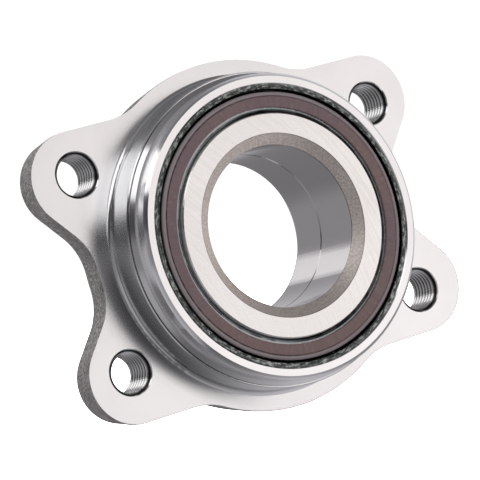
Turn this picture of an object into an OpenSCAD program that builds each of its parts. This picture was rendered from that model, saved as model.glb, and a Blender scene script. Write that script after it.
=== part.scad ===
// Flanged double-row wheel hub bearing.
// The spin axis lies along Y through the origin, and the machined flange face is the plane Y = 0.
// The collar and the encoder face -Y (inboard), and the wheel side is +Y (outboard).

/* [Inner rings] */
// Bore diameter that the axle or hub spigot is pressed into
bore_d = 43; // [43:0.5:44]
// Width of the two inner rings together
inner_w = 37; // [36.5:0.1:38]
// How far each inner ring stands out of the outer ring
standout = 0.3; // [0.1:0.1:0.6]
// Outer diameter of the high shoulder that carries the slinger
shoulder_d = 59.4; // [59:0.1:59.8]
// Outer diameter of the low land beside the split
land_d = 54; // [53:0.2:55]
// Radial size of the bore chamfer at the inboard face
nose_chamfer_r = 2.85; // [1:0.05:3]
// Axial size of the bore chamfer at the inboard face
nose_chamfer_w = 1.9; // [1:0.1:3]
// Radial size of the long bore chamfer at the outboard face
tail_chamfer_r = 3; // [1:0.1:3.2]
// Axial size of the long bore chamfer at the outboard face
tail_chamfer_w = 5.4; // [2:0.1:6]

/* [Collar] */
// Height of the collar above the machined flange face
collar_h = 17; // [16.5:0.1:18]
// Diameter of the ground pilot next to the flange
pilot_d = 84; // [83.6:0.1:84.4]
// Length of the ground pilot, root fillet included
pilot_w = 10; // [9:0.1:11]
// Diameter of the relieved nose in front of the pilot
nose_d = 80.8; // [80:0.2:81.4]
// Diameter of the collar's end face
nose_face_d = 79; // [78.4:0.2:79.4]
// Radius of the fillet between the pilot and the flange face
root_fillet = 1.2; // [0.8:0.1:1.6]

/* [Flange] */
// Spacing of the tapped holes along X
hole_x = 91.5; // [90:0.5:93]
// Spacing of the tapped holes along Z
hole_z = 52.8; // [52:0.2:54]
// Thickness of the flange
flange_t = 12; // [10:0.5:13]
// Diameter of the round rim between the ears
rim_d = 94.2; // [93:0.2:96]
// Radius of each ear about its hole
ear_r = 12.6; // [12:0.1:13.4]
// Angle of the ears' facing flanks from the X axis
flank_angle = 51; // [48:1:54]
// Radius between the rim and the long flanks
outer_fillet = 6; // [4:0.5:8]
// Radius between the rim and the facing flanks
inner_fillet = 4; // [3:0.5:5]
// Forging draft of the flange's side wall, in degrees
draft = 7; // [3:1:8]
// How far the forged outline stands turned against the tapped holes, in degrees
forge_turn = 1.2; // [0:0.1:2]
// Radius of the side wall's rear edge
rear_round = 3.2; // [2:0.2:4]
// Straight height of the side wall below the machined face
side_land = 1.2; // [0.8:0.1:2]

/* [Tapped holes] */
// Nominal thread diameter, M12 x 1.5
thread_d = 12; // [12:1:12]
// Diameter of the countersunk mouth
mouth_d = 12.5; // [12.2:0.1:13]

/* [Ball rows] */
// Ball diameter
ball_d = 11.112; // [11.112, 11]
// Pitch circle diameter of both rows
pitch_d = 62.4; // [62.2:0.1:62.6]
// Distance of each row from the middle of the bearing
row_offset = 7.2; // [7:0.1:7.4]
// Balls in each row
balls = 14; // [12:1:14]
// Contact angle in degrees
contact_angle = 38; // [30:1:40]
// Raceway radius as a share of the ball diameter
conformity = 0.5175; // [0.515:0.0005:0.52]
// Running gap between ball and raceway along the contact line
running_gap = 0.03; // [0.02:0.01:0.06]

/* [Seals] */
// Diameter of the seal seat in the outer ring
seat_d = 74.8; // [74.4:0.1:75]
// Sheet thickness of the seal case
case_t = 0.8; // [0.6:0.1:0.9]
// Sheet thickness of the slinger
slinger_t = 0.5; // [0.4:0.05:0.6]
// Outer diameter of the slinger and encoder
slinger_d = 70.6; // [70:0.1:71]
// Inner diameter of the encoder ring
encoder_in_d = 62.4; // [62:0.1:63]

/* [Hidden] */
function numbered(stem) = [for (i = [1 : balls]) str(stem, i < 10 ? "0" : "", i)];
inboard_balls = numbered("ball_inboard_");
outboard_balls = numbered("ball_outboard_");
$fn = 96;

// Finishes as the photograph shows them
turned_steel = [0.80, 0.78, 0.76];
ground_steel = [0.86, 0.83, 0.80];
ball_steel = [0.90, 0.90, 0.91];
spring_steel = [0.55, 0.56, 0.58];
dark_zinc = [0.22, 0.24, 0.23];
stainless = [0.62, 0.63, 0.65];
lip_rubber = [0.09, 0.09, 0.10];
encoder_rubber = [0.33, 0.27, 0.26];
cage_nylon = [0.78, 0.74, 0.62];

// Axial places, counted from the middle of the bearing
half_w = inner_w / 2;
mid_z = half_w - collar_h - standout;
ring_end = half_w - standout;
rear_z = mid_z + ring_end;

// Radii
bore_r = bore_d / 2;
shoulder_r = shoulder_d / 2;
land_r = land_d / 2;
pilot_r = pilot_d / 2;
nose_r = nose_d / 2;
nose_face_r = nose_face_d / 2;
rim_r = rim_d / 2;
seat_r = seat_d / 2;
ball_r = ball_d / 2;
pitch_r = pitch_d / 2;
slinger_r = slinger_d / 2;
encoder_in_r = encoder_in_d / 2;
edge_break = 0.3;

// How far a cutting shape runs past the face that it opens
past_face = 1;

// Raceways: an arc a little larger than the ball, moved along the contact line to leave the gap
race_r = conformity * ball_d;
race_shift = race_r - ball_r - running_gap;
shift_r = race_shift * cos(contact_angle);
shift_z = race_shift * sin(contact_angle);
outer_bore_r = 36.6;
rib_r = 34.3;

// Collar: the taper and the relief groove between the nose and the ground pilot
taper_w = 0.8;
taper_r = 41.5;
relief_w = 0.45;
relief_depth = 0.35;

// Rear body of the outer ring, behind the flange
rear_body_r = 41.8;
rear_end_r = 41;
rear_fillet = 1.4;
rear_chamfer = 0.8;

// How far the forged plate reaches into the turned ring section
plate_inset = 3;

// Cage
cage_in_r = 30.3;
cage_out_r = 33.7;
cage_open_z = 5;
cage_heel_z = 14;
cage_chamfer = 0.5;
pocket_r = ball_r + 0.15;
prong_slot_r = 0.7;

// Clip that joins the inner rings, and the groove that each of its edges hooks into
clip_t = 0.5;
clip_gap = 0.05;
hook_in = 1.9;
hook_out = 2.4;
hook_depth = 0.7;
groove_play = 0.1;
clip_opening = 12;

// Seals
seat_step = 14.4;
case_in_r = 32.4;
case_lip_r = 36;
case_front = ring_end - 0.1;
slinger_end = 14.5;
slinger_face = 17.45;
bend_r = 1.2;
lip_gap = 0.06;

// Seal case: its bends, and the small edge of the curl at the front
case_bend = 0.4;
curl_edge = 0.2;

// Seal lips: their thickness, the small edge at each tip and the width of the rubber's foot
lip_t = 0.4;
lip_edge = 0.1;
lip_foot = 1.8;

// Encoder: the flat track, the groove that ends it, the edges and the slightly lower rim
encoder_face = ring_end - 0.05;
encoder_flat_r = 34;
encoder_groove_w = 0.4;
track_edge = 0.15;
rim_edge = 0.35;
rim_drop = 0.05;

// Places a shape on the bearing's own axis, with Z along the axis, into the part's frame
module on_axis() {
  rotate([-90, 0, 0]) children();
}

// Places a shape that is drawn for one end, counted from the middle: side 1 is outboard, -1 inboard
module at_end(side) {
  on_axis() translate([0, 0, mid_z]) mirror([0, 0, side < 0 ? 1 : 0]) children();
}

// Flange outline, one quadrant. A flank is a straight side with a normal angle, and runs beside the ear.
// Neighbouring curves are set into each other by a hair, so that they cross and don't only touch.
ear = [hole_x / 2, hole_z / 2];
long_normal = 90;
face_normal = flank_angle - 90;
hair = 0.02;
function unit(a) = [cos(a), sin(a)];
function polar(p) = atan2(p[1], p[0]);
// Distance of a flank from the axis
function flank_offset(a) = ear * unit(a) + ear_r - hair;
// Direction along a flank towards its ear
function flank_dir(a) = unit(a > 0 ? a - 90 : a + 90);
// Centre of the fillet of radius f between the rim and a flank
function fillet_centre(a, f) =
  let (out = flank_offset(a) + f - hair)
  out * unit(a) + sqrt(pow(rim_r + f - hair, 2) - pow(out, 2)) * flank_dir(a);

near = fillet_centre(long_normal, outer_fillet);
far = fillet_centre(face_normal, inner_fillet);
wall_step = 0.1;
web_inset = 1;

module each_quadrant() {
  for (mx = [0, 1], my = [0, 1])
    mirror([mx, 0, 0]) mirror([0, my, 0]) children();
}

// Metal between the rim and one ear, with the fillets' arcs taken out
module web_outline() {
  difference() {
    polygon([
      [0, 0],
      (rim_r - web_inset) * unit(polar(near)), near, near - (outer_fillet - hair) * unit(long_normal),
      ear + (ear_r - hair) * unit(long_normal), ear + (ear_r - hair) * unit(face_normal),
      far - (inner_fillet - hair) * unit(face_normal), far, (rim_r - web_inset) * unit(polar(far))
    ]);
    translate(near) circle(r = outer_fillet);
    translate(far) circle(r = inner_fillet);
  }
}

module flange_slab() {
  cylinder(r = rim_r, h = flange_t);
  each_quadrant() {
    translate([ear[0], ear[1], 0]) cylinder(r = ear_r, h = flange_t);
    linear_extrude(flange_t) web_outline();
  }
}

// What the forging draft and the round rear edge take off the side wall.
// X is the distance outwards from the wall, and Y is the depth below the machined face.
// A step moves the wall's edges, so that the edges of neighbouring walls don't all meet in one point.
module wall_trim(step) {
  land = side_land + step;
  round_r = rear_round - step;
  run = flange_t - round_r;
  arc_x = -(run - land) * tan(draft) - round_r / cos(draft);
  reach = 2.5;
  lead = 0.1;
  difference() {
    polygon([
      [reach, land - lead / tan(draft)],
      [lead, land - lead / tan(draft)],
      [arc_x + round_r * cos(draft), run + round_r * sin(draft)],
      [arc_x, run],
      [arc_x, flange_t + past_face],
      [reach, flange_t + past_face]
    ]);
    translate([arc_x, run]) circle(r = round_r);
  }
}

// The trim round a convex arc of radius r about a point, from one polar angle to another
module arc_trim(centre, r, from, to) {
  translate([centre[0], centre[1], 0]) rotate([0, 0, from])
    rotate_extrude(angle = to - from) translate([r, 0]) wall_trim(0);
}

// The trim round a concave fillet of radius f about a point
module fillet_trim(centre, f, from, to) {
  translate([centre[0], centre[1], 0]) rotate([0, 0, from])
    rotate_extrude(angle = to - from) translate([f, 0]) mirror([1, 0]) wall_trim(2 * wall_step);
}

// The trim along a straight flank, from a point on its edge to another
module flank_trim(from, to, normal) {
  run = to - from;
  flip = cross(unit(normal), run) > 0 ? 1 : 0;
  translate([from[0], from[1], 0]) rotate([0, 0, normal]) rotate([90, 0, 0])
    mirror([0, 0, flip]) linear_extrude(norm(run)) wall_trim(wall_step);
}

// The trims of one quadrant's ear, flanks and fillets. Each runs on a little way into its neighbour's cut.
module ear_trim() {
  over = 9;
  past = 2;
  arc_trim(ear, ear_r, face_normal, long_normal);
  flank_trim(
    near - (outer_fillet - hair) * unit(long_normal),
    ear + (ear_r - hair) * unit(long_normal) + past * flank_dir(long_normal),
    long_normal
  );
  flank_trim(
    far - (inner_fillet - hair) * unit(face_normal),
    ear + (ear_r - hair) * unit(face_normal) + past * flank_dir(face_normal),
    face_normal
  );
  fillet_trim(near, outer_fillet, polar(-near) - over, polar(-unit(long_normal)) + over);
  fillet_trim(far, inner_fillet, polar(-unit(face_normal)) - over, polar(-far) + over + 360);
}

// The trims of the rim between the ears
module rim_trim() {
  for (turn = [0, 180]) rotate([0, 0, turn]) {
    arc_trim([0, 0], rim_r, polar(near), 180 - polar(near));
    arc_trim([0, 0], rim_r, -polar(far), polar(far));
  }
}

// The flange as a forged plate, open where the turned ring section takes over
module flange() {
  difference() {
    flange_slab();
    each_quadrant() ear_trim();
    rim_trim();
    translate([0, 0, -past_face]) cylinder(r = pilot_r - plate_inset, h = flange_t + 2 * past_face);
  }
}

// One tapped hole, at its nominal diameter, open at both faces and countersunk there
module tapped_hole() {
  thread_r = thread_d / 2;
  mouth = (mouth_d - thread_d) / 2;
  mouth_h = 2 * mouth;
  mouth_r = thread_r + mouth_h;
  translate([ear[0], ear[1], 0]) {
    translate([0, 0, -past_face]) cylinder(r = thread_r, h = flange_t + 2 * past_face);
    translate([0, 0, -mouth]) cylinder(r1 = mouth_r, r2 = thread_r, h = mouth_h);
    translate([0, 0, flange_t - mouth]) cylinder(r1 = thread_r, r2 = mouth_r, h = mouth_h);
  }
}

// Outer profile of the outer ring from the collar's face to the rear, in radius and height
function ring_outside() = [
  [seat_r + edge_break, -collar_h],
  [nose_face_r, -collar_h],
  [nose_r, -collar_h + nose_r - nose_face_r],
  [nose_r, -pilot_w - relief_w - taper_w],
  [taper_r, -pilot_w - relief_w],
  [taper_r - relief_depth, -pilot_w - relief_w],
  [taper_r - relief_depth, -pilot_w],
  [pilot_r - edge_break, -pilot_w],
  [pilot_r, -pilot_w + edge_break],
  [pilot_r, -root_fillet],
  [pilot_r + root_fillet, -root_fillet],
  [pilot_r + root_fillet, flange_t + rear_fillet],
  [rear_body_r, flange_t + rear_fillet],
  [rear_end_r, rear_z - rear_chamfer],
  [rear_end_r - rear_chamfer, rear_z],
  [seat_r + edge_break, rear_z]
];

// Inner profile of one half of the outer ring, from its end to the rib between the rows
function ring_inside(side) = [
  [seat_r, mid_z + side * (ring_end - edge_break)],
  [seat_r, mid_z + side * seat_step],
  [outer_bore_r, mid_z + side * seat_step],
  [outer_bore_r, mid_z + side * row_offset],
  [rib_r, mid_z + side * row_offset]
];

function reversed(list) = [for (i = [len(list) - 1 : -1 : 0]) list[i]];

// The two raceways, the fillet at the pilot's root and the fillet behind the flange
module ring_section() {
  difference() {
    polygon(concat(ring_outside(), ring_inside(1), reversed(ring_inside(-1))));
    for (side = [-1, 1])
      translate([pitch_r - shift_r, mid_z + side * (row_offset + shift_z)]) circle(r = race_r);
    translate([pilot_r + root_fillet, -root_fillet]) circle(r = root_fillet);
    translate([rear_body_r + rear_fillet, flange_t + rear_fillet]) circle(r = rear_fillet);
  }
}

module outer_ring() {
  color(turned_steel) on_axis() rotate([0, 0, -forge_turn]) difference() {
    union() {
      flange();
      rotate_extrude() ring_section();
    }
    rotate([0, 0, forge_turn]) each_quadrant() tapped_hole();
  }
}

// One inner ring half, drawn for the outboard end, with its bore chamfer
module inner_ring_section(chamfer_r, chamfer_w) {
  groove_r = land_r - hook_depth - groove_play;
  difference() {
    polygon([
      [bore_r, edge_break], [bore_r + edge_break, 0], [land_r - edge_break, 0], [land_r, edge_break],
      [land_r, hook_in], [groove_r, hook_in], [groove_r, hook_out + groove_play],
      [land_r, hook_out + groove_play], [land_r, row_offset], [shoulder_r, row_offset],
      [shoulder_r, half_w - edge_break], [shoulder_r - edge_break, half_w],
      [bore_r + chamfer_r, half_w], [bore_r, half_w - chamfer_w]
    ]);
    translate([pitch_r + shift_r, row_offset - shift_z]) circle(r = race_r);
  }
}

module inner_ring_inboard() {
  color(ground_steel) at_end(-1) rotate_extrude() inner_ring_section(nose_chamfer_r, nose_chamfer_w);
}

module inner_ring_outboard() {
  color(ground_steel) at_end(1) rotate_extrude() inner_ring_section(tail_chamfer_r, tail_chamfer_w);
}

// Split band with both edges turned in
module ring_clip() {
  band_in = land_r + clip_gap;
  hook_r = land_r - hook_depth;
  color(spring_steel) at_end(1) rotate_extrude(angle = 360 - clip_opening) polygon([
    [hook_r, -hook_out], [band_in + clip_t, -hook_out], [band_in + clip_t, hook_out], [hook_r, hook_out],
    [hook_r, hook_in], [band_in, hook_in], [band_in, -hook_in], [hook_r, -hook_in]
  ]);
}

// Turn of each row: the outboard row sits half a ball spacing further round
function row_turn(side) = side < 0 ? 0 : 180 / balls;
function ball_angle(side, i) = row_turn(side) + 360 * i / balls;

module ball(side, i) {
  color(ball_steel) at_end(side) rotate([0, 0, ball_angle(side, i)])
    translate([pitch_r, 0, row_offset]) sphere(r = ball_r);
}

// Moulded crown: pockets that close past the ball's middle, and prongs that spring apart
module cage(side) {
  color(cage_nylon) at_end(side) difference() {
    rotate_extrude() polygon([
      [cage_in_r, cage_open_z], [cage_out_r, cage_open_z],
      [cage_out_r, cage_heel_z - cage_chamfer], [cage_out_r - cage_chamfer, cage_heel_z],
      [cage_in_r + cage_chamfer, cage_heel_z], [cage_in_r, cage_heel_z - cage_chamfer]
    ]);
    for (i = [0 : balls - 1]) {
      rotate([0, 0, ball_angle(side, i)]) translate([pitch_r, 0, row_offset]) sphere(r = pocket_r);
      rotate([0, 0, ball_angle(side, i + 0.5)]) translate([0, 0, cage_open_z]) rotate([0, 90, 0])
        cylinder(r = prong_slot_r, h = cage_out_r + past_face);
    }
  }
}

module cage_inboard() {
  cage(-1);
}

module cage_outboard() {
  cage(1);
}

// Pressed case: the wall in the seat, the flange behind it and the curled front edge
module seal_case(side) {
  wall_in_r = seat_r - case_t;
  back = seat_step + case_t;
  color(dark_zinc) at_end(side) rotate_extrude() polygon([
    [case_in_r, seat_step], [seat_r - case_bend, seat_step], [seat_r, seat_step + case_bend],
    [seat_r, case_front - curl_edge], [seat_r - curl_edge, case_front],
    [case_lip_r + curl_edge, case_front], [case_lip_r, case_front - curl_edge],
    [case_lip_r, case_front - case_t], [wall_in_r, case_front - case_t - case_bend],
    [wall_in_r, back + case_bend], [wall_in_r - case_bend, back], [case_in_r, back]
  ]);
}

// Rubber on the case's inner edge: two lips on the slinger's sleeve and one on its flange
module seal_lip(side) {
  sleeve_r = shoulder_r + slinger_t + lip_gap;
  back = seat_step + case_t;
  foot_r = case_in_r + lip_foot;
  tip_z = slinger_face - slinger_t - lip_gap;
  color(lip_rubber) at_end(side) rotate_extrude() polygon([
    [case_in_r, seat_step], [case_in_r, back], [foot_r, back], [foot_r, back + lip_t - lip_edge],
    [foot_r - lip_foot / 2, back + lip_t], [foot_r - lip_edge, tip_z - 2 * lip_edge],
    [foot_r - 2 * lip_edge, tip_z], [foot_r - lip_t - lip_edge, tip_z - lip_edge / 2],
    [case_in_r + lip_t / 2, back + lip_t], [case_in_r - lip_t - lip_edge, back + lip_t],
    [sleeve_r + lip_edge / 2, back + 2 * lip_t - lip_edge], [sleeve_r, back + lip_t + 1.5 * lip_edge],
    [case_in_r - 2.5 * lip_t, back], [sleeve_r, back - lip_t + lip_edge], [sleeve_r, back - lip_t],
    [case_in_r - 2 * lip_t + lip_edge, seat_step]
  ]);
}

// Pressed slinger: a sleeve on the inner ring, a round bend and a flange
module slinger(side) {
  bend_c = [shoulder_r + bend_r, slinger_face - bend_r];
  sleeve_r = shoulder_r + slinger_t;
  back = slinger_face - slinger_t;
  color(stainless) at_end(side) rotate_extrude() difference() {
    polygon([
      [shoulder_r, slinger_end], [sleeve_r, slinger_end], [sleeve_r, bend_c[1]], bend_c,
      [bend_c[0], back], [slinger_r, back], [slinger_r, slinger_face], [shoulder_r, slinger_face]
    ]);
    translate(bend_c) circle(r = bend_r - slinger_t);
    difference() {
      translate([bend_c[0] - bend_r - past_face, bend_c[1]]) square(bend_r + past_face);
      translate(bend_c) circle(r = bend_r);
    }
  }
}

module slinger_inboard() {
  slinger(-1);
}

module slinger_outboard() {
  slinger(1);
}

module seal_case_inboard() {
  seal_case(-1);
}

module seal_case_outboard() {
  seal_case(1);
}

module seal_lip_inboard() {
  seal_lip(-1);
}

module seal_lip_outboard() {
  seal_lip(1);
}

// Magnetised rubber ring on the slinger's face: a flat track, a shallow groove and a rounded rim
module encoder_ring() {
  groove_z = encoder_face - track_edge;
  rim_z = encoder_face - rim_drop;
  color(encoder_rubber) at_end(-1) rotate_extrude() polygon([
    [encoder_in_r, slinger_face], [slinger_r, slinger_face], [slinger_r, encoder_face - rim_edge],
    [slinger_r - rim_edge, encoder_face], [encoder_flat_r + encoder_groove_w, rim_z],
    [encoder_flat_r + 0.75 * encoder_groove_w, groove_z],
    [encoder_flat_r + 0.25 * encoder_groove_w, groove_z], [encoder_flat_r, encoder_face],
    [encoder_in_r + track_edge, encoder_face], [encoder_in_r, encoder_face - track_edge]
  ]);
}

outer_ring();
inner_ring_inboard();
inner_ring_outboard();
ring_clip();
cage_inboard();
cage_outboard();
seal_case_inboard();
seal_lip_inboard();
slinger_inboard();
encoder_ring();
seal_case_outboard();
seal_lip_outboard();
slinger_outboard();
for (i = [0 : balls - 1]) {
  ball(-1, i);
  ball(1, i);
}
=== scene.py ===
"""Visual model of a flanged double-row wheel hub bearing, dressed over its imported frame.

The spin axis is Y, and the collar and the encoder face -Y. The assemblies and the finishes give
their sizes in millimetres, and the stage gives its own in metres.
"""

import logging
import math
from dataclasses import dataclass
from enum import Enum

import bmesh
import bpy
from mathutils import Matrix, Quaternion, Vector


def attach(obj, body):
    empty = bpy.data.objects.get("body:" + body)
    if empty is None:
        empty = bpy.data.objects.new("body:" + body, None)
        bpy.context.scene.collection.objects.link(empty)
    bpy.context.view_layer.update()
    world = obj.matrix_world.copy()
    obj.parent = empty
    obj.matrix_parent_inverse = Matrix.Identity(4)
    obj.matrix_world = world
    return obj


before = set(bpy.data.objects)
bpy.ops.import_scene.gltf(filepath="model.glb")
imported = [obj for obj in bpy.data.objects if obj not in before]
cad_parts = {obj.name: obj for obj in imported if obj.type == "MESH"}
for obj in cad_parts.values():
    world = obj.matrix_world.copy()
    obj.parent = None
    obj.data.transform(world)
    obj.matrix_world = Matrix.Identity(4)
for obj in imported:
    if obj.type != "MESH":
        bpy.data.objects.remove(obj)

LOG = logging.getLogger("hub_bearing")
MM = 0.001
# Spacing of the tapped holes along X and along Z
HOLE_X = 91.5
HOLE_Z = 52.8
# Thickness of the flange, whose machined face lies at Y 0
FLANGE_T = 12.0
# The side of X and of Z that each ear lies on, in the order of its pieces' numbers
EARS = ((-1, 1), (1, 1), (-1, -1), (1, -1))

Socket = bpy.types.NodeSocket
Value = float | bpy.types.NodeSocket
Colour = tuple[float, float, float]
# Where a mask is 0 and where it is 1, or the two ends of a range
Span = tuple[float, float]
# The value that a noise lies round
NOISE_MIDDLE = 0.5


class Row(Enum):
    """The two ball rows, by the side they sit on."""

    INBOARD = "inboard"
    OUTBOARD = "outboard"


@dataclass(frozen=True)
class Grain:
    """The settings of one noise: its features per millimetre, its octaves and the weight of the fine ones."""

    per_mm: float
    detail: float = 2.0
    rough: float = 0.5


@dataclass(frozen=True)
class Relief:
    """How a height bends the light: its range in millimetres, and how much of it shows."""

    depth: float
    strength: float


def shade(colour: Colour, share: float) -> Colour:
    """Makes a colour darker or lighter, up to white."""
    return tuple(min(1.0, c * share) for c in colour)


class Graph:
    """Adds nodes to one node tree and joins them."""

    # The sockets of a Mix node: the share, then the pair for numbers or for colours
    NUMBER_SOCKETS = (0, 2, 3)
    COLOUR_SOCKETS = (0, 6, 7)

    def __init__(self, tree: bpy.types.NodeTree) -> None:
        """Starts on an emptied tree.

        Args:
            tree: The tree of a material or of the world.
        """
        self.tree = tree
        self.tree.nodes.clear()

    def put(self, socket: Socket, value: Value | Colour) -> None:
        """Links a socket to another, or sets it to a plain value.

        Args:
            socket: The input socket.
            value: A socket, a number or a colour.
        """
        if isinstance(value, bpy.types.NodeSocket):
            self.tree.links.new(value, socket)
        elif isinstance(value, tuple):
            socket.default_value = (*value, 1.0) if len(socket.default_value) == 4 else value
        else:
            socket.default_value = value

    def math(self, operation: str, a: Value, b: Value = 0.0, clamp: bool = False) -> Socket:
        """Joins two numbers by a Math node.

        Args:
            operation: The node's operation.
            a: The first number.
            b: The second number.
            clamp: Whether the result stays within 0 and 1.

        Returns:
            The result's socket.
        """
        node = self.tree.nodes.new("ShaderNodeMath")
        node.operation = operation
        node.use_clamp = clamp
        self.put(node.inputs[0], a)
        self.put(node.inputs[1], b)
        return node.outputs[0]

    def product(self, first: Value, second: Value, *others: Value) -> Socket:
        """Multiplies numbers, such as masks.

        Args:
            first: The first number.
            second: The second number.
            others: Any more numbers.

        Returns:
            The product's socket.
        """
        result = self.math("MULTIPLY", first, second)
        for other in others:
            result = self.math("MULTIPLY", result, other)
        return result

    def length(self, across: Value, up: Value) -> Socket:
        """Finds the length of a flat vector.

        Args:
            across: The vector's first number.
            up: The vector's second number.

        Returns:
            The length's socket.
        """
        squares = self.math("ADD", self.product(across, across), self.product(up, up))
        return self.math("SQRT", squares)

    def parts(self, vector: Socket) -> tuple[Socket, Socket, Socket]:
        """Splits a vector into its three numbers.

        Args:
            vector: The vector's socket.

        Returns:
            The X, Y and Z sockets.
        """
        node = self.tree.nodes.new("ShaderNodeSeparateXYZ")
        self.tree.links.new(vector, node.inputs[0])
        return node.outputs[0], node.outputs[1], node.outputs[2]

    def vector(self, x: Value, y: Value, z: Value) -> Socket:
        """Makes a vector of three numbers.

        Args:
            x: The first number.
            y: The second number.
            z: The third number.

        Returns:
            The vector's socket.
        """
        node = self.tree.nodes.new("ShaderNodeCombineXYZ")
        for socket, value in zip(node.inputs, (x, y, z)):
            self.put(socket, value)
        return node.outputs[0]

    def step(self, value: Value, low: float, high: float) -> Socket:
        """Goes smoothly from 0 at low to 1 at high, or the other way round if high is less.

        Args:
            value: The number to test.
            low: Where the result is 0.
            high: Where the result is 1.

        Returns:
            The result's socket.
        """
        node = self.tree.nodes.new("ShaderNodeMapRange")
        node.interpolation_type = "SMOOTHSTEP"
        turned = high < low
        self.put(node.inputs["Value"], value)
        node.inputs["From Min"].default_value = min(low, high)
        node.inputs["From Max"].default_value = max(low, high)
        node.inputs["To Min"].default_value = 1.0 if turned else 0.0
        node.inputs["To Max"].default_value = 0.0 if turned else 1.0
        return node.outputs[0]

    def band(self, value: Value, low: float, high: float, soft: float) -> Socket:
        """Gives 1 between two values and 0 outside them.

        Args:
            value: The number to test.
            low: The band's lower end.
            high: The band's upper end.
            soft: How wide each end's blend is.

        Returns:
            The mask's socket.
        """
        rise = self.step(value, low - soft / 2, low + soft / 2)
        fall = self.step(value, high + soft / 2, high - soft / 2)
        return self.product(rise, fall)

    def mix(self, share: Value, a: Value, b: Value) -> Socket:
        """Blends two numbers.

        Args:
            share: 0 for the first, 1 for the second.
            a: The first number.
            b: The second number.

        Returns:
            The blend's socket.
        """
        node = self.tree.nodes.new("ShaderNodeMix")
        for index, value in zip(self.NUMBER_SOCKETS, (share, a, b)):
            self.put(node.inputs[index], value)
        return node.outputs[0]

    def blend(self, share: Value, a: Socket | Colour, b: Socket | Colour) -> Socket:
        """Blends two colours.

        Args:
            share: 0 for the first, 1 for the second.
            a: The first colour.
            b: The second colour.

        Returns:
            The blend's socket.
        """
        node = self.tree.nodes.new("ShaderNodeMix")
        node.data_type = "RGBA"
        for index, value in zip(self.COLOUR_SOCKETS, (share, a, b)):
            self.put(node.inputs[index], value)
        return node.outputs[2]


class PieceGraph(Graph):
    """The nodes of one material, which reads the point on the piece in millimetres."""

    def __init__(self, name: str) -> None:
        """Starts a material with one Principled shader.

        Args:
            name: The material's name.
        """
        self.material = bpy.data.materials.new(name)
        self.material.use_nodes = True
        super().__init__(self.material.node_tree)
        self.shader = self.tree.nodes.new("ShaderNodeBsdfPrincipled")
        output = self.tree.nodes.new("ShaderNodeOutputMaterial")
        self.tree.links.new(self.shader.outputs[0], output.inputs["Surface"])
        self._place: Socket | None = None

    def surface(self, **values: Value | Colour) -> None:
        """Sets the Principled shader's sockets by name, with _ for a space.

        Args:
            values: The sockets' values, such as Base_Color.
        """
        for name, value in values.items():
            self.put(self.shader.inputs[name.replace("_", " ")], value)

    def place(self) -> Socket:
        """Finds the point on the piece from Object coordinates.

        Returns:
            The point's socket, in millimetres.
        """
        if self._place is None:
            coordinates = self.tree.nodes.new("ShaderNodeTexCoord")
            node = self.tree.nodes.new("ShaderNodeVectorMath")
            node.operation = "SCALE"
            self.tree.links.new(coordinates.outputs["Object"], node.inputs[0])
            node.inputs["Scale"].default_value = 1 / MM
            self._place = node.outputs[0]
        return self._place

    def radius(self) -> Socket:
        """Gives the distance from the spin axis in millimetres."""
        x, _, z = self.parts(self.place())
        return self.length(x, z)

    def hole_radius(self) -> Socket:
        """Finds the distance from the nearest tapped hole's axis.

        Returns:
            The distance's socket, in millimetres.
        """
        x, _, z = self.parts(self.place())
        across = self.math("SUBTRACT", self.math("ABSOLUTE", x), HOLE_X / 2)
        up = self.math("SUBTRACT", self.math("ABSOLUTE", z), HOLE_Z / 2)
        return self.length(across, up)

    def round_axis(self, spin: float) -> Socket:
        """Finds a point for a noise that runs round the spin axis.

        Args:
            spin: How fast the noise changes outwards, per millimetre.

        Returns:
            The point's socket.
        """
        r = self.radius()
        x, _, z = self.parts(self.place())
        return self.vector(self.math("DIVIDE", x, r), self.math("DIVIDE", z, r), self.product(r, spin))

    def noise(self, grain: Grain, at: Socket | None = None) -> Socket:
        """Gives a noise value.

        Args:
            grain: The noise's settings.
            at: Where to read it, or None for the point on the piece.

        Returns:
            The noise's socket.
        """
        node = self.tree.nodes.new("ShaderNodeTexNoise")
        self.tree.links.new(at or self.place(), node.inputs["Vector"])
        node.inputs["Scale"].default_value = grain.per_mm
        node.inputs["Detail"].default_value = grain.detail
        node.inputs["Roughness"].default_value = grain.rough
        return node.outputs[0]

    def bump(self, height: Socket, relief: Relief, under: Socket | None = None) -> Socket:
        """Turns a height into a bent normal.

        Args:
            height: The height, from 0 to 1.
            relief: How it bends the light.
            under: A normal that it is laid on, or None.

        Returns:
            The normal's socket.
        """
        node = self.tree.nodes.new("ShaderNodeBump")
        node.inputs["Strength"].default_value = relief.strength
        node.inputs["Distance"].default_value = relief.depth * MM
        self.tree.links.new(height, node.inputs["Height"])
        if under is not None:
            self.tree.links.new(under, node.inputs["Normal"])
        return node.outputs[0]

    def turned(self, blur_turn: float = 0.25) -> None:
        """Runs the shader's tangent round the spin axis, and blurs what it mirrors across the turning marks.

        Args:
            blur_turn: The blur's direction against the tangent, as a share of a full turn.
        """
        x, _, z = self.parts(self.place())
        node = self.tree.nodes.new("ShaderNodeVectorTransform")
        node.vector_type = "VECTOR"
        node.convert_from = "OBJECT"
        node.convert_to = "WORLD"
        self.tree.links.new(self.vector(self.product(z, -1.0), 0.0, x), node.inputs[0])
        self.tree.links.new(node.outputs[0], self.shader.inputs["Tangent"])
        self.shader.inputs["Anisotropic Rotation"].default_value = blur_turn


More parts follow.
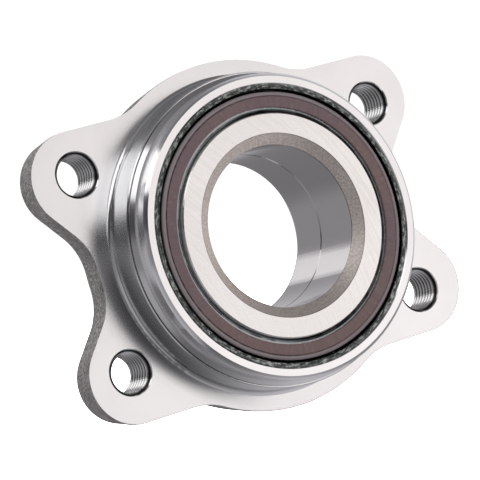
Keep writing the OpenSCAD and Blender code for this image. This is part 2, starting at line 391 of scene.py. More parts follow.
class SkyGraph(Graph):
    """The nodes of the world, which is read by direction."""

    def __init__(self, name: str) -> None:
        """Starts the scene's world.

        Args:
            name: The world's name.
        """
        world = bpy.data.worlds.new(name)
        bpy.context.scene.world = world
        world.use_nodes = True
        super().__init__(world.node_tree)

    def direction(self) -> tuple[Socket, Socket, Socket]:
        """Gives the numbers of the direction that is looked in."""
        return self.parts(self.tree.nodes.new("ShaderNodeTexCoord").outputs["Generated"])

    def shine(self, tint: Colour, strength: Value, seen: float) -> None:
        """Ends the world: a tinted glow, and plain white where the camera looks past the part.

        Args:
            tint: The glow's colour.
            strength: The glow's strength.
            seen: The white's strength.
        """
        nodes, links = self.tree.nodes, self.tree.links
        glow = nodes.new("ShaderNodeBackground")
        self.put(glow.inputs["Color"], tint)
        self.put(glow.inputs["Strength"], strength)
        white = nodes.new("ShaderNodeBackground")
        self.put(white.inputs["Color"], (1.0, 1.0, 1.0))
        self.put(white.inputs["Strength"], seen)
        mix = nodes.new("ShaderNodeMixShader")
        path = nodes.new("ShaderNodeLightPath")
        output = nodes.new("ShaderNodeOutputWorld")
        for source, socket in (
            (path.outputs["Is Camera Ray"], mix.inputs[0]),
            (glow.outputs[0], mix.inputs[1]),
            (white.outputs[0], mix.inputs[2]),
            (mix.outputs[0], output.inputs["Surface"]),
        ):
            links.new(source, socket)


@dataclass(frozen=True)
class ForgedRingFinish:
    """The outer ring: turned faces and collar, a rough forged edge and back, and tapped holes."""

    bright: Colour = (0.80, 0.795, 0.80)
    # Painted shade inside the tapped holes, below their mouths
    hole_shade: Colour = (0.05, 0.05, 0.052)
    # Painted highlight: a brighter band on the collar's front, standing in for its brighter reflection
    nose_highlight: Colour = (1.0, 0.985, 1.0)
    scale_dark: Colour = (0.22, 0.203, 0.195)
    scale_light: Colour = (0.86, 0.825, 0.80)
    stain_tone: float = 0.96
    # Painted shade on the face round the foot of the collar, at the lower left
    root_shade_tone: float = 0.42
    patch_weight: float = 0.35
    face_rough: float = 0.20
    collar_rough: float = 0.15
    scale_rough: float = 0.62
    scale_metal: float = 0.55
    face_play: float = 0.03
    collar_play: float = 0.08
    blur: float = 0.5
    flange_r: Span = (42.6, 43.3)
    face_y: Span = (0.05, 0.02)
    skin_r: Span = (42.95, 43.1)
    skin_y: Span = (0.0, 0.06)
    mouth_r: Span = (6.5, 6.4)
    # Where the painted shade in the tapped holes starts: by distance from the hole's axis and by depth
    hole_shade_r: Span = (6.10, 6.04)
    hole_shade_y: Span = (1.2, 1.5)
    # The collar's front band that gets the painted highlight, and how soft its ends are
    nose_highlight_y: Span = (-16.5, -11.9)
    nose_highlight_soft: float = 0.3
    # Where the painted shade round the foot of the collar lies: by radius, by X and by Z
    root_r: Span = (48.0, 43.4)
    root_shade_x: Span = (-4.0, -34.0)
    root_shade_z: Span = (8.0, -4.0)
    chips: Grain = Grain(0.9, 2.0, 0.6)
    chips_share: Span = (0.50, 0.72)
    chips_depth: float = 0.35
    stain: Grain = Grain(0.06, 3.0, 0.55)
    stain_share: Span = (0.35, 0.7)
    scale: Grain = Grain(1.5, 4.0, 0.7)
    scale_share: Span = (0.34, 0.68)
    scale_relief: Relief = Relief(0.25, 0.9)
    patch: Grain = Grain(0.16, 2.0, 0.5)
    patch_share: Span = (0.45, 0.7)
    marks: Grain = Grain(1.0, 3.0, 0.6)
    marks_per_mm: float = 3.0
    marks_drift: float = 0.02
    marks_relief: Relief = Relief(0.004, 0.4)

    def build(self) -> bpy.types.Material:
        """Makes the material.

        Returns:
            The material.
        """
        g = PieceGraph("forged_ring")
        _, y, _ = g.parts(g.place())
        flange = g.step(g.radius(), *self.flange_r)
        face = g.product(flange, g.step(y, *self.face_y))
        collar = g.math("SUBTRACT", 1.0, flange)
        skin = self.skin(g)
        marks = self.turning_marks(g)
        grain = g.noise(self.scale)
        play = g.mix(collar, self.face_play, self.collar_play)
        play = g.product(g.math("SUBTRACT", marks, NOISE_MIDDLE), play)
        rough = g.math("ADD", g.mix(face, self.collar_rough, self.face_rough), play)
        fine = g.bump(g.product(marks, collar), self.marks_relief)
        g.turned()
        g.surface(
            Base_Color=g.blend(skin, self.metal(g, face, collar), self.scaled(g, grain)),
            Metallic=g.mix(skin, 1.0, self.scale_metal),
            Roughness=g.mix(skin, rough, self.scale_rough),
            Normal=g.bump(g.product(skin, grain), self.scale_relief, fine),
            Anisotropic=self.blur,
        )
        return g.material

    def skin(self, g: PieceGraph) -> Socket:
        """Masks the forged skin, whose edge is chipped along the machined face.

        Args:
            g: The material's nodes.

        Returns:
            The mask's socket.
        """
        _, y, _ = g.parts(g.place())
        chips = g.product(g.step(g.noise(self.chips), *self.chips_share), self.chips_depth)
        below = g.step(g.math("SUBTRACT", y, chips), *self.skin_y)
        tapped = g.step(g.hole_radius(), *self.mouth_r)
        return g.product(g.step(g.radius(), *self.skin_r), below, g.math("SUBTRACT", 1.0, tapped))

    def turning_marks(self, g: PieceGraph) -> Socket:
        """Makes rings that change with radius and height, and hardly round the axis.

        Args:
            g: The material's nodes.

        Returns:
            The marks' socket.
        """
        x, y, z = g.parts(g.place())
        rings = g.product(g.math("ADD", g.radius(), y), self.marks_per_mm)
        at = g.vector(g.product(x, self.marks_drift), rings, g.product(z, self.marks_drift))
        return g.noise(self.marks, at)

    def metal(self, g: PieceGraph, face: Socket, collar: Socket) -> Socket:
        """Colours the machined metal, with painted shade and a painted highlight.

        Args:
            g: The material's nodes.
            face: The mask of the flange's machined face.
            collar: The mask of the collar.

        Returns:
            The colour's socket.
        """
        x, y, z = g.parts(g.place())
        stain = g.step(g.noise(self.stain), *self.stain_share)
        tone = g.blend(stain, self.bright, shade(self.bright, self.stain_tone))
        # Painted highlight on the collar's front band
        nose_highlight = g.product(g.band(y, *self.nose_highlight_y, self.nose_highlight_soft), collar)
        tone = g.blend(nose_highlight, tone, self.nose_highlight)
        # Painted shade on the face round the foot of the collar, at the lower left only
        lower_left = g.product(g.step(z, *self.root_shade_z), g.step(x, *self.root_shade_x))
        root_shade = g.product(g.step(g.radius(), *self.root_r), face, lower_left)
        tone = g.blend(root_shade, tone, shade(self.bright, self.root_shade_tone))
        # Painted shade inside the tapped holes
        hole_shade = g.product(g.step(g.hole_radius(), *self.hole_shade_r), g.step(y, *self.hole_shade_y))
        return g.blend(hole_shade, tone, self.hole_shade)

    def scaled(self, g: PieceGraph, grain: Socket) -> Socket:
        """Colours the forging scale.

        Args:
            g: The material's nodes.
            grain: The scale's own noise.

        Returns:
            The colour's socket.
        """
        tone = g.blend(g.step(grain, *self.scale_share), self.scale_dark, self.scale_light)
        patch = g.product(g.step(g.noise(self.patch), *self.patch_share), self.patch_weight)
        return g.blend(patch, tone, self.scale_dark)


@dataclass(frozen=True)
class CutThreadFinish:
    """Freshly cut thread: bright crests, and painted shade that darkens the ridges towards the hole's wall.
    """

    crest: Colour = (0.88, 0.87, 0.86)
    crest_tone: float = 0.8
    # Painted shade towards the hole's wall: its colour, then where it starts and where it is full, by
    # distance from the hole's axis
    root_shade: Colour = (0.03, 0.03, 0.032)
    root_r: Span = (5.22, 5.72)
    rough: Span = (0.16, 0.26)
    marks: Grain = Grain(1.2, 3.0, 0.6)
    relief: Relief = Relief(0.03, 0.5)

    def build(self) -> bpy.types.Material:
        """Makes the material.

        Returns:
            The material.
        """
        g = PieceGraph("cut_thread")
        marks = g.noise(self.marks)
        crest = g.blend(marks, shade(self.crest, self.crest_tone), self.crest)
        g.surface(
            # Painted shade towards the hole's wall
            Base_Color=g.blend(g.step(g.hole_radius(), *self.root_r), crest, self.root_shade),
            Metallic=1.0,
            Roughness=g.mix(marks, *self.rough),
            Normal=g.bump(marks, self.relief),
        )
        return g.material


@dataclass(frozen=True)
class GroundRingFinish:
    """The inner rings: a ground face, a polished bore and a matt turned chamfer, with painted shade at its
    edges.
    """

    face: Colour = (0.80, 0.785, 0.775)
    bore: Colour = (0.60, 0.575, 0.58)
    chamfer: Colour = (0.97, 0.885, 0.825)
    # Painted shade along the chamfer's outer edge
    edge: Colour = (0.30, 0.28, 0.27)
    edge_shade_weight: float = 0.6
    # Painted shade in a narrow band at the bore's lip, beside the chamfer
    lip_shade_tone: float = 0.3
    face_rough: float = 0.17
    grind_rough: float = 0.08
    bore_rough: float = 0.11
    chamfer_rough: float = 0.58
    wall_rough: float = 0.26
    blur: float = 0.6
    chamfer_r: Span = (24.36, 24.32)
    chamfer_y: Span = (-15.40, -15.45)
    bore_r: Span = (21.9, 21.6)
    edge_shade_r: Span = (24.05, 24.25)
    lip_shade_y: Span = (-14.95, -15.25)
    wall_r: Span = (29.60, 29.66)
    wall_y: Span = (18.0, 17.0)
    grain: Grain = Grain(2.0, 2.0, 0.7)
    grain_share: Span = (0.3, 0.7)
    grain_tone: float = 0.70
    grind: Grain = Grain(1.1, 3.0, 0.65)
    grind_share: Span = (0.36, 0.64)
    grind_tones: Span = (0.90, 1.05)
    grind_way: Span = (0.906, 0.423)
    grind_bow: float = 0.006
    grind_stretch: float = 0.06
    relief: Relief = Relief(0.02, 0.35)

    def build(self) -> bpy.types.Material:
        """Makes the material.

        Returns:
            The material.
        """
        g = PieceGraph("ground_ring")
        r = g.radius()
        _, y, _ = g.parts(g.place())
        cone = g.product(g.step(r, *self.chamfer_r), g.step(y, *self.chamfer_y))
        bore = g.product(g.step(r, *self.bore_r), g.step(y, *reversed(self.chamfer_y)))
        wall = g.product(g.step(r, *self.wall_r), g.step(y, *self.wall_y))
        # Painted shade in a narrow band at the bore's lip
        lip = g.product(bore, g.step(y, *self.lip_shade_y))
        # Painted shade along the chamfer's outer edge
        edge = g.product(cone, g.step(r, *self.edge_shade_r), self.edge_shade_weight)
        grain = g.noise(self.grain)
        grind = self.grinding(g)
        faint, clear = self.grind_tones
        tone = g.blend(grind, shade(self.face, faint), shade(self.face, clear))
        tone = g.blend(bore, tone, g.blend(lip, self.bore, shade(self.bore, self.lip_shade_tone)))
        matt = g.blend(g.step(grain, *self.grain_share), shade(self.chamfer, self.grain_tone), self.chamfer)
        matt = g.blend(edge, matt, self.edge)
        rough = g.math("ADD", self.face_rough, g.product(grind, self.grind_rough))
        rough = g.mix(cone, g.mix(bore, rough, self.bore_rough), self.chamfer_rough)
        g.turned()
        g.surface(
            Base_Color=g.blend(cone, tone, matt),
            Metallic=1.0,
            Roughness=g.mix(wall, rough, self.wall_rough),
            Normal=g.bump(g.mix(cone, grind, grain), self.relief),
            Anisotropic=self.blur,
        )
        return g.material

    def grinding(self, g: PieceGraph) -> Socket:
        """Makes parallel grinding marks, slightly bowed.

        Args:
            g: The material's nodes.

        Returns:
            The marks' socket, from 0 to 1.
        """
        x, _, z = g.parts(g.place())
        cosine, sine = self.grind_way
        across = g.math("ADD", g.product(x, cosine), g.product(z, sine))
        along = g.math("SUBTRACT", g.product(z, cosine), g.product(x, sine))
        bowed = g.math("ADD", across, g.product(along, along, self.grind_bow))
        marks = g.noise(self.grind, g.vector(bowed, g.product(along, self.grind_stretch), 0.0))
        return g.step(marks, *self.grind_share)


@dataclass(frozen=True)
class CaseFinish:
    """The seal case: blotched dark plated sheet, painted shade inside its lip, a painted highlight towards
    its outer edge.
    """

    name: str
    dark: Colour = (0.06, 0.068, 0.064)
    light: Colour = (0.52, 0.545, 0.53)
    # Painted shade in the gap inside the case's lip
    lip_shade: Colour = (0.006, 0.006, 0.006)
    rough: Span = (0.46, 0.28)
    lip_shade_r: Span = (36.12, 36.04)
    # Painted highlight that grows towards the case's outer edge
    outer_highlight_r: Span = (36.5, 37.2)
    outer_highlight_weight: float = 0.15
    blotch: Grain = Grain(20.0, 3.0, 0.7)
    blotch_share: Span = (0.46, 0.64)
    blotch_spin: float = 0.07
    blotch_weight: float = 0.8
    specks: Grain = Grain(2.4, 2.0, 0.6)
    specks_share: Span = (0.4, 0.6)
    specks_floor: float = 0.6
    relief: Relief = Relief(0.10, 0.6)

    def build(self) -> bpy.types.Material:
        """Makes the material.

        Returns:
            The material.
        """
        g = PieceGraph(self.name)
        r = g.radius()
        blotch = g.step(g.noise(self.blotch, g.round_axis(self.blotch_spin)), *self.blotch_share)
        specks = g.noise(self.specks)
        broken = g.mix(g.step(specks, *self.specks_share), self.specks_floor, 1.0)
        glint = g.product(blotch, broken, self.blotch_weight)
        # Light blotches of the plating, plus a painted highlight towards the outer edge
        outer = g.product(g.step(r, *self.outer_highlight_r), self.outer_highlight_weight)
        glint = g.math("ADD", glint, outer, clamp=True)
        g.surface(
            # Painted shade inside the lip
            Base_Color=g.blend(g.step(r, *self.lip_shade_r), g.blend(glint, self.dark, self.light), self.lip_shade),
            Metallic=1.0,
            Roughness=g.mix(glint, *self.rough),
            Normal=g.bump(specks, self.relief),
        )
        return g.material


@dataclass(frozen=True)
class SlingerFinish:
    """The slinger: dull pressed sheet; painted light on the left, painted shade at its bend, painted glints.
    """

    name: str
    sheet: Colour = (0.36, 0.38, 0.385)
    # Painted glints: light specks near the sheet's outer edge
    glint: Colour = (0.85, 0.86, 0.86)
    # Painted shade where the sheet falls into the gap beside the inner ring
    bend_shade: Colour = (0.03, 0.032, 0.034)
    # Painted light: the sheet is made lighter on the left side
    left_highlight_tone: float = 2.0
    left_rough: float = 0.58
    right_rough: Span = (0.28, 0.46)
    left_x: Span = (2.0, -13.0)
    # Where the painted shade lies: wide on the right, a narrow band on the left, broken up in patches
    wide_r: Span = (30.95, 30.6)
    wide_weight: Span = (1.0, 0.8)
    thin_r: Span = (30.3, 30.62)
    thin_soft: float = 0.12
    thin_weight: float = 0.9
    speck_r: Span = (30.85, 31.0)
    speck_share: Span = (0.52, 0.62)
    patch: Grain = Grain(0.6, 2.0, 0.5)
    patch_share: Span = (0.46, 0.56)
    patch_stretch: float = 0.25
    fine: Grain = Grain(2.0, 3.0, 0.7)
    relief: Relief = Relief(0.06, 0.5)

    def build(self) -> bpy.types.Material:
        """Makes the material.

        Returns:
            The material.
        """
        g = PieceGraph(self.name)
        r = g.radius()
        x, _, z = g.parts(g.place())
        flat = g.vector(g.product(x, self.patch_stretch), g.product(z, self.patch_stretch), 0.0)
        patch = g.step(g.noise(self.patch, flat), *self.patch_share)
        fine = g.noise(self.fine)
        left = g.step(x, *self.left_x)
        # Painted shade at the bend: wide on the right, a narrow band on the left
        wide = g.product(g.step(r, *self.wide_r), g.mix(patch, *self.wide_weight))
        thin_shade = g.product(g.band(r, *self.thin_r, self.thin_soft), patch, self.thin_weight)
        # Painted glints near the sheet's outer edge
        speck = g.product(g.step(r, *self.speck_r), g.step(fine, *self.speck_share))
        # Painted light: lighter sheet on the left side
        tone = g.blend(left, self.sheet, shade(self.sheet, self.left_highlight_tone))
        tone = g.blend(g.mix(left, wide, thin_shade), tone, self.bend_shade)
        g.surface(
            Base_Color=g.blend(speck, tone, self.glint),
            Metallic=1.0,
            Roughness=g.mix(left, g.mix(fine, *self.right_rough), self.left_rough),
            Normal=g.bump(fine, self.relief),
        )
        return g.material


@dataclass(frozen=True)
class EncoderFinish:
    """Magnetised brown rubber, finely brushed outwards, with a paler rim and a ring of painted shade just
    inside it.
    """

    track: Colour = (0.29, 0.195, 0.21)
    warm: Colour = (0.33, 0.215, 0.205)
    rim: Colour = (0.42, 0.36, 0.375)
    # Painted shade in the crease inside the rim, stronger on the left
    shade_line: Colour = (0.055, 0.04, 0.045)
    rough: Span = (0.42, 0.55)
    gloss: float = 0.55
    rim_r: Span = (34.25, 34.4)
    shade_line_r: Span = (33.98, 34.34)
    shade_line_soft: float = 0.06
    shade_line_x: Span = (12.0, -24.0)
    shade_line_weight: Span = (0.45, 0.9)
    shade_line_break: Span = (0.45, 0.6)
    broken_weight: float = 0.6
    brush: Grain = Grain(60.0, 2.0, 0.6)
    brush_share: Span = (0.3, 0.7)
    brush_spin: float = 0.003
    brush_weight: float = 0.3
    brush_tone: float = 0.62
    mottle: Grain = Grain(0.9, 2.0, 0.5)
    mottle_share: Span = (0.55, 0.75)
    mottle_weight: float = 0.25
    wide: Grain = Grain(0.05, 2.0, 0.5)
    wide_share: Span = (0.4, 0.6)
    relief: Relief = Relief(0.01, 0.4)

    def build(self) -> bpy.types.Material:
        """Makes the material.

        Returns:
            The material.
        """
        g = PieceGraph("encoder_rubber")
        r = g.radius()
        x, _, _ = g.parts(g.place())
        brush = g.step(g.noise(self.brush, g.round_axis(self.brush_spin)), *self.brush_share)
        mottle = g.noise(self.mottle)
        tone = g.blend(g.step(g.noise(self.wide), *self.wide_share), self.track, self.warm)
        tone = g.blend(g.product(brush, self.brush_weight), tone, shade(self.track, self.brush_tone))
        tone = g.blend(g.step(r, *self.rim_r), tone, self.rim)
        tone = g.blend(g.product(g.step(mottle, *self.mottle_share), self.mottle_weight), tone, self.rim)
        # Painted shade inside the rim: stronger on the left, broken up by the mottle
        weight = g.mix(g.step(x, *self.shade_line_x), *self.shade_line_weight)
        whole = g.mix(g.step(mottle, *self.shade_line_break), 1.0, self.broken_weight)
        shade_line = g.product(g.band(r, *self.shade_line_r, self.shade_line_soft), weight, whole)
        g.surface(
            Base_Color=g.blend(shade_line, tone, self.shade_line),
            Roughness=g.mix(brush, *self.rough),
            Normal=g.bump(brush, self.relief),
            Specular_IOR_Level=self.gloss,
        )
        return g.material


@dataclass(frozen=True)
class MouldedFinish:
    """Rubber or nylon with a fine moulded grain."""

    name: str
    tone: Colour
    rough: float
    grain: Grain = Grain(1.5, 3.0, 0.6)
    tones: Span = (0.85, 1.12)
    play: Span = (-0.06, 0.08)
    relief: Relief = Relief(0.04, 0.4)

    def build(self) -> bpy.types.Material:
        """Makes the material.

        Returns:
            The material.
        """
        g = PieceGraph(self.name)
        grain = g.noise(self.grain)
        dark, light = (shade(self.tone, share) for share in self.tones)
        low, high = (self.rough + part for part in self.play)
        g.surface(
            Base_Color=g.blend(grain, dark, light),
            Roughness=g.mix(grain, low, high),
            Normal=g.bump(grain, self.relief),
        )
        return g.material


@dataclass(frozen=True)
class PolishedFinish:
    """Polished or cut steel with faint rolling marks."""

    name: str
    tone: Colour
    rough: float
    marks: Grain = Grain(0.8, 3.0, 0.6)
    faint_tone: float = 0.93
    play: float = 0.06
    relief: Relief = Relief(0.01, 0.2)

    def build(self) -> bpy.types.Material:
        """Makes the material.

        Returns:
            The material.
        """
        g = PieceGraph(self.name)
        marks = g.noise(self.marks)
        g.surface(
            Base_Color=g.blend(marks, shade(self.tone, self.faint_tone), self.tone),
            Metallic=1.0,
            Roughness=g.mix(marks, self.rough, self.rough + self.play),
            Normal=g.bump(marks, self.relief),
        )
        return g.material


class Assembly:
    """What every sub-assembly shares: dressing CAD nodes and adding pieces."""

    body: str = "housing"

    def dress(self, node: str, material: bpy.types.Material) -> None:
        """Gives a CAD node its finish.

        Args:
            node: The node's name.
            material: The finish.
        """
        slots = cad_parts[node].data.materials
        if len(slots) == 0:
            slots.append(material)
        else:
            slots[0] = material
        LOG.info("dressed %s with %s", node, material.name)

    def add(self, name: str, bm: bmesh.types.BMesh, material: bpy.types.Material, slot: str) -> None:
        """Turns a bmesh into a piece that rides on this assembly's body.

        Args:
            name: The piece's name.
            bm: The shape, in metres and in place. It is freed.
            material: The finish.
            slot: The record's material slot. It is not used.
        """
        bmesh.ops.recalc_face_normals(bm, faces=bm.faces)
        mesh = bpy.data.meshes.new(name)
        bm.to_mesh(mesh)
        bm.free()
        mesh.materials.append(material)
        piece = bpy.data.objects.new(name, mesh)
        bpy.context.scene.collection.objects.link(piece)
        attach(piece, self.body)
        LOG.info("built %s: %d faces", name, len(mesh.polygons))


@dataclass
class OuterRing(Assembly):
    """The flanged outer ring and the turns of its four tapped holes."""

    root_r: float = 6.02
    crest_r: float = 5.19
    root_half: float = 0.655
    crest_half: float = 0.19
    pitch: float = 1.5
    mouth_r: float = 6.25
    mouth_w: float = 0.55
    steps: int = 60
    weld: float = 1e-8
    sliver: float = 1e-7

    def build(self) -> None:
        """Dresses the ring, rounds its waists out and cuts the thread turns."""
        skin = ForgedRingFinish().build()
        self.dress("outer_ring", skin)
        ForgedWaist().build(skin)
        cut = CutThreadFinish().build()
        for number, (sx, sz) in enumerate(EARS, 1):
            bm = self.thread()
            bmesh.ops.translate(bm, verts=bm.verts, vec=(sx * HOLE_X / 2 * MM, 0, sz * HOLE_Z / 2 * MM))
            self.add(f"thread_turns_{number}", bm, cut, "forged_steel")

    def thread(self) -> bmesh.types.BMesh:
        """Makes the ridge of one tapped hole, about its own axis.

        Returns:
            The ridge, which runs out into the wall where the mouths' cones meet it.
        """
        bm = bmesh.new()
        corners = (
            (self.root_r, -self.root_half),
            (self.crest_r, -self.crest_half),
            (self.crest_r, self.crest_half),
            (self.root_r, self.root_half),
        )
        bm.faces.new([bm.verts.new((r * MM, (h - self.pitch) * MM, 0)) for r, h in corners])
        turns = (FLANGE_T + 2 * self.pitch) / self.pitch
        count = round(turns * self.steps)
        bmesh.ops.spin(
            bm,
            geom=bm.verts[:] + bm.edges[:] + bm.faces[:],
            cent=(0, 0, 0),
            axis=(0, 1, 0),
            dvec=(0, turns * self.pitch * MM / count, 0),
            angle=2 * math.pi * turns,
            steps=count,
            use_merge=False,
            use_duplicate=False,
        )
        bmesh.ops.remove_doubles(bm, verts=bm.verts, dist=self.weld)
        self.end_at_mouths(bm)
        bmesh.ops.dissolve_degenerate(bm, edges=bm.edges, dist=self.sliver)
        return bm

    def end_at_mouths(self, bm: bmesh.types.BMesh) -> None:
        """Keeps the ridge between the two mouths, and below the cone of each.

        Args:
            bm: The ridge, about its own axis.
        """
        low, high = self.mouth_w * MM, (FLANGE_T - self.mouth_w) * MM
        for v in bm.verts:
            height = min(max(v.co.y, low), high)
            depth = min(height, FLANGE_T * MM - height)
            r = math.hypot(v.co.x, v.co.z)
            held = self.root_r * MM if height != v.co.y else max(r, self.mouth_r * MM - depth)
            v.co = (v.co.x * held / r, height, v.co.z * held / r)


@dataclass(frozen=True)
class Fillet:
    """One forged fillet between the round rim and an ear's flank, by the flank's normal in degrees."""

    flank_normal: float
    towards_ear: float
    radius: float

    def centre(self, reach: float, rim_r: float) -> Vector:
        """Finds the fillet's centre in the plane of the flange.

        Args:
            reach: The flank's distance from the spin axis.
            rim_r: The rim's radius.

        Returns:
            The centre's X and Z.
        """
        out = reach + self.radius
        run = math.sqrt((rim_r + self.radius) ** 2 - out ** 2)
        normal, way = math.radians(self.flank_normal), math.radians(self.towards_ear)
        return Vector((
            out * math.cos(normal) + run * math.cos(way),
            out * math.sin(normal) + run * math.sin(way),
        ))


@dataclass
class ForgedWaist(Assembly):
    """The forging's full fillets, laid over the smaller ones where the ears leave the rim."""

    rim_r: float = 47.1
    ear_r: float = 12.6
    turn: float = 1.2
    land: float = 1.2
    draft: float = 7.0
    rear_round: float = 3.2
    round_steps: int = 8
    sunk: float = 0.005
    depth: float = 6.0
    steps: int = 28
    crease: float = 30.0
    fillets: tuple[Fillet, ...] = (
        Fillet(flank_normal=-39.0, towards_ear=51.0, radius=15.0),
        Fillet(flank_normal=90.0, towards_ear=0.0, radius=18.0),
    )

    def build(self, skin: bpy.types.Material) -> None:
        """Adds the fillets of each ear.

        Args:
            skin: The outer ring's finish.
        """
        for number, (sx, sz) in enumerate(EARS, 1):
            bm = bmesh.new()
            for fillet in self.fillets:
                self.sweep(bm, fillet)
            bmesh.ops.scale(bm, verts=bm.verts, vec=(sx * MM, MM, sz * MM))
            turned = Matrix.Rotation(math.radians(-self.turn), 3, "Y")
            bmesh.ops.rotate(bm, verts=bm.verts, matrix=turned)
            bmesh.ops.recalc_face_normals(bm, faces=bm.faces)
            for face in bm.faces:
                face.smooth = True
            for edge in bm.edges:
                edge.smooth = edge.calc_face_angle(0.0) < math.radians(self.crease)
            self.add(f"forged_waist_{number}", bm, skin, "forged_steel")

    def wall(self, radius: float) -> list[tuple[float, float]]:
        """Draws the section of the side wall, with its land, draft and round rear edge.

        Args:
            radius: The fillet's radius at the machined face.

        Returns:
            The section's corners, as distance from the fillet's centre and height.
        """
        lean = math.radians(self.draft)
        run = FLANGE_T - self.rear_round
        rear = FLANGE_T - self.sunk
        inset = (run - self.land) * math.tan(lean) + self.rear_round / math.cos(lean)
        corners = [(radius, self.sunk), (radius, self.land)]
        for number in range(self.round_steps + 1):
            turn = lean + (math.pi / 2 - lean) * number / self.round_steps
            height = min(run + self.rear_round * math.sin(turn), rear)
            corners.append((radius + inset - self.rear_round * math.cos(turn), height))
        return corners + [(radius + self.depth, rear), (radius + self.depth, self.sunk)]

    def sweep(self, bm: bmesh.types.BMesh, fillet: Fillet) -> None:
        """Sweeps the wall round one fillet's centre, from the flank to the rim.

        Args:
            bm: The mesh that it is added to, in millimetres.
            fillet: The fillet.
        """
        ear = Vector((HOLE_X / 2, HOLE_Z / 2))
        normal = math.radians(fillet.flank_normal)
        reach = ear.x * math.cos(normal) + ear.y * math.sin(normal) + self.ear_r
        centre = fillet.centre(reach, self.rim_r)
        start = normal + math.pi
        span = math.remainder(math.atan2(-centre.y, -centre.x) - start, 2 * math.pi)
        corners = [
            bm.verts.new((centre.x + r * math.cos(start), height, centre.y + r * math.sin(start)))
            for r, height in self.wall(fillet.radius)
        ]
        section = bm.faces.new(corners)
        bmesh.ops.spin(
            bm,
            geom=corners + section.edges[:] + [section],
            cent=(centre.x, 0, centre.y),
            axis=(0, -1, 0),
            angle=span,
            steps=self.steps,
            use_merge=False,
            use_duplicate=False,
        )


@dataclass
class InnerRings(Assembly):
    """The two inner rings and the clip that joins them."""

    clip_tone: Colour = (0.42, 0.43, 0.46)
    clip_rough: float = 0.35

    def build(self) -> None:
        """Dresses both rings and the clip."""
        ground = GroundRingFinish().build()
        for row in Row:
            self.dress(f"inner_ring_{row.value}", ground)
        self.dress("ring_clip", PolishedFinish("spring_steel", self.clip_tone, self.clip_rough).build())


@dataclass
class SealPack(Assembly):
    """One end's seal: case, lips and slinger, with the encoder at the inboard end."""

    row: Row
    rubber_tone: Colour = (0.022, 0.022, 0.024)
    rubber_rough: float = 0.5

    def build(self) -> None:
        """Dresses the seal's pieces."""
        side = self.row.value
        rubber = MouldedFinish(f"lip_rubber_{side}", self.rubber_tone, self.rubber_rough).build()
        self.dress(f"seal_case_{side}", CaseFinish(f"case_plating_{side}").build())
        self.dress(f"slinger_{side}", SlingerFinish(f"slinger_sheet_{side}").build())
        self.dress(f"seal_lip_{side}", rubber)
        if self.row is Row.INBOARD:
            self.dress("encoder_ring", EncoderFinish().build())


@dataclass
class BallRow(Assembly):
    """One row: 14 balls in their cage."""

    row: Row
    balls: int = 14
    steel_tone: Colour = (0.82, 0.82, 0.83)
    steel_rough: float = 0.07
    steel_marks: Grain = Grain(0.3, 3.0, 0.6)
    nylon_tone: Colour = (0.58, 0.52, 0.38)
    nylon_rough: float = 0.5
    nylon_grain: Grain = Grain(0.8, 3.0, 0.6)

    def build(self) -> None:
        """Dresses the balls and the cage."""
        side = self.row.value
        polished = PolishedFinish(f"ball_steel_{side}", self.steel_tone, self.steel_rough, self.steel_marks)
        moulded = MouldedFinish(f"cage_nylon_{side}", self.nylon_tone, self.nylon_rough, self.nylon_grain)
        steel, nylon = polished.build(), moulded.build()
        self.dress(f"cage_{side}", nylon)
        for number in range(1, self.balls + 1):
            self.dress(f"ball_{side}_{number:02d}", steel)


@dataclass(frozen=True)
class Softbox:
    """One soft panel of light that faces the part. Its roll turns it about its own middle, in degrees."""

    name: str
    place: tuple[float, float, float]
    size: Span
    power: float
    tint: Colour = (1.0, 1.0, 1.0)
    roll: float = 0.0

    def build(self) -> None:
        """Adds the light to the scene."""
        light = bpy.data.lights.new(self.name, "AREA")
        light.shape = "RECTANGLE"
        light.size, light.size_y = self.size
        light.energy = self.power
        light.color = self.tint
        lamp = bpy.data.objects.new(self.name, light)
        lamp.location = self.place
        facing = (-Vector(self.place)).to_track_quat("-Z", "Y")
        lamp.rotation_euler = (facing @ Quaternion((0, 0, 1), math.radians(self.roll))).to_euler()
        bpy.context.scene.collection.objects.link(lamp)


@dataclass(frozen=True)
class Room:
    """The world: a dim glow, stronger behind the part, and from left to right along the floor.

    Its spans are of the direction looked in, which has length 1, and its turns are in degrees.
    """

    front_glow: float = 0.15
    left_glow: float = 0.25
    flag_glow: float = 0.06
    floor_glow: float = 0.60
    rear_glow: float = 0.38
    side_gain: float = 1.6
    under_gain: float = 0.7
    white: float = 1.1
    tint: Colour = (0.97, 0.96, 1.0)
    front_to_rear: Span = (-0.25, 0.25)
    down: Span = (0.0, -0.12)
    leftwards: Span = (0.3, -0.5)
    far_left: Span = (-0.45, -0.62)
    floor_right: Span = (-0.35, 0.55)
    rear_right: Span = (-0.1, 0.5)
    rear_down: Span = (-0.1, -0.4)
    flag_turn: Span = (138.0, 163.0)
    flag_soft: float = 10.0

    def build(self) -> None:
        """Fills the scene's world."""
        g = SkyGraph("studio")
        x, y, z = g.direction()
        flag_start, flag_end, flag_soft = (math.radians(turn) for turn in (*self.flag_turn, self.flag_soft))
        flag = g.band(g.math("ARCTAN2", z, x), flag_start, flag_end, flag_soft)
        glow = g.mix(g.step(x, *self.leftwards), self.front_glow, self.left_glow)
        wall = g.mix(flag, glow, self.flag_glow)
        side = g.mix(g.step(x, *self.far_left), self.front_glow, self.left_glow * self.side_gain)
        floor = g.mix(g.step(x, *self.floor_right), side, self.floor_glow)
        front = g.mix(g.step(z, *self.down), wall, floor)
        rear = g.mix(g.step(x, *self.rear_right), self.rear_glow, self.rear_glow * self.side_gain)
        rear = g.mix(g.step(z, *self.rear_down), rear, self.rear_glow * self.under_gain)
        g.shine(self.tint, g.mix(g.step(y, *self.front_to_rear), front, rear), self.white)


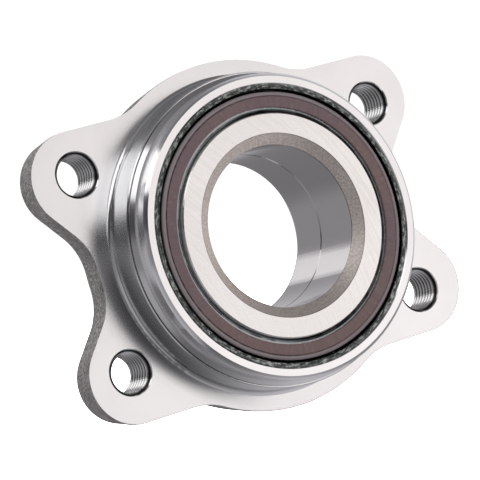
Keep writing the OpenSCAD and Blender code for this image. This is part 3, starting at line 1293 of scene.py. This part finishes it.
@dataclass
class Studio:
    """The floor, the lights and the camera."""

    floor_drop: float = 0.0472
    floor_reach: float = 30.0
    floor_tone: Colour = (0.9, 0.9, 0.9)
    floor_rough: float = 0.8
    floor_alpha: float = 0.7
    focal: float = 210.02
    sensor: float = 36.0
    clip: Span = (0.01, 100.0)
    # Camera place and axes, fitted to the photograph
    eye_place: tuple[float, float, float] = (-0.36739, -0.64698, -0.00754)
    eye_right: tuple[float, float, float] = (0.84247445, -0.46997137, -0.26336992)
    eye_up: tuple[float, float, float] = (0.22531062, -0.13669226, 0.96465038)
    lamps: tuple[Softbox, ...] = (
        Softbox("upper_left", (-0.410, -0.686, 0.601), (0.43, 1.3), 2.0, roll=57),
        Softbox("behind_left", (-0.13, 0.85, 0.50), (0.34, 0.5), 0.38),
        Softbox("right", (0.82, -0.574, 0.03), (1.55, 0.40), 1.88, (1.0, 0.955, 0.93)),
    )

    def build(self) -> None:
        """Sets the stage."""
        self.floor()
        Room().build()
        for lamp in self.lamps:
            lamp.build()
        self.camera()

    def floor(self) -> None:
        """Lays a wide pale floor under the part's rim."""
        bm = bmesh.new()
        bmesh.ops.create_grid(bm, x_segments=1, y_segments=1, size=self.floor_reach)
        bmesh.ops.translate(bm, verts=bm.verts, vec=(0, 0, -self.floor_drop))
        mesh = bpy.data.meshes.new("floor")
        bm.to_mesh(mesh)
        bm.free()
        g = PieceGraph("pale_floor")
        g.surface(Base_Color=self.floor_tone, Roughness=self.floor_rough, Alpha=self.floor_alpha)
        mesh.materials.append(g.material)
        floor = bpy.data.objects.new("floor", mesh)
        bpy.context.scene.collection.objects.link(floor)
        floor.is_shadow_catcher = True
        floor.visible_glossy = False

    def camera(self) -> None:
        """Places the camera as the photograph's was."""
        camera = bpy.data.cameras.new("camera")
        camera.sensor_width = self.sensor
        camera.lens = self.focal
        camera.clip_start, camera.clip_end = self.clip
        eye = bpy.data.objects.new("camera", camera)
        right, up = Vector(self.eye_right), Vector(self.eye_up)
        turn = Matrix((right, up, right.cross(up))).transposed()
        eye.matrix_world = Matrix.Translation(self.eye_place) @ turn.to_4x4()
        bpy.context.scene.collection.objects.link(eye)
        bpy.context.scene.camera = eye


def main() -> None:
    """Builds the assemblies in order and sets the stage."""
    logging.basicConfig(level=logging.INFO, format="%(name)s: %(message)s")
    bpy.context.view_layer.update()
    OuterRing().build()
    InnerRings().build()
    for row in Row:
        SealPack(row=row).build()
        BallRow(row=row).build()
    Studio().build()
    bpy.context.scene.view_settings.view_transform = "Standard"


if __name__ == "__main__":
    main()
